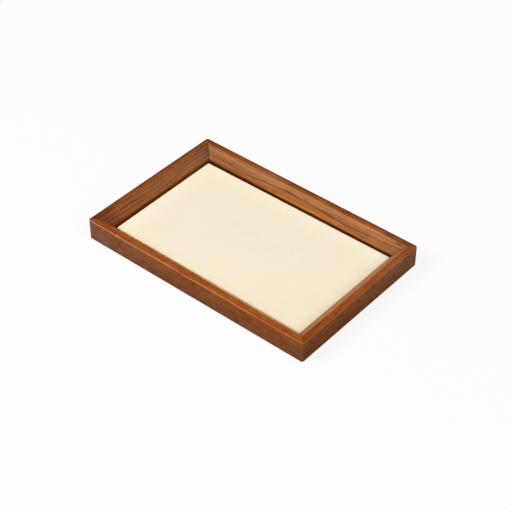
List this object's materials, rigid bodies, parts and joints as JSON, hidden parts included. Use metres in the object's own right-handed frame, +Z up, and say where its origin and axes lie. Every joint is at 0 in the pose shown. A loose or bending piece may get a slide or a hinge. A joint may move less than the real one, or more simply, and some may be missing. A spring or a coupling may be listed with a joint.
{
  "type": "jewelry display tray",
  "caption": "Shallow rectangular wooden display tray with mitred, bevelled rails round a flat padded cloth insert that lifts out.",
  "frame": {"origin": "middle of the underside of the rails, where the tray rests", "axes": "+X along the long rails to the right rail, +Y across the tray from the front rail to the back rail, +Z up"},
  "size_m": [0.28, 0.182, 0.0254],
  "materials": {
    "stained_wood": "stained walnut brown with a satin lacquer, grain along each rail",
    "beech": "plain pressed beech",
    "fibreboard": "smooth medium-density fibreboard",
    "brad_steel": "bright drawn steel",
    "base_felt": "thin dark brown felt",
    "foam": "open-cell foam sheet",
    "pad_cloth": "cream microfibre with a fine short nap",
    "backing_cloth": "plain thin liner"
  },
  "bodies": {
    "tray": {"front_rail": "stained_wood", "back_rail": "stained_wood", "left_rail": "stained_wood", "right_rail": "stained_wood", "front_left_biscuit": "beech", "front_right_biscuit": "beech", "back_left_biscuit": "beech", "back_right_biscuit": "beech", "base_panel": "fibreboard", "panel_brads": "brad_steel", "base_felt": "base_felt"},
    "pad": {"pad_backing": "backing_cloth", "pad_board": "fibreboard", "pad_foam": "foam", "pad_cover": "pad_cloth"}
  },
  "joints": [
    {"name": "pad_lift", "type": "slide", "parent": "tray", "child": "pad", "axis": [0, 0, 1], "range_m": [0, 0.03]}
  ]
}
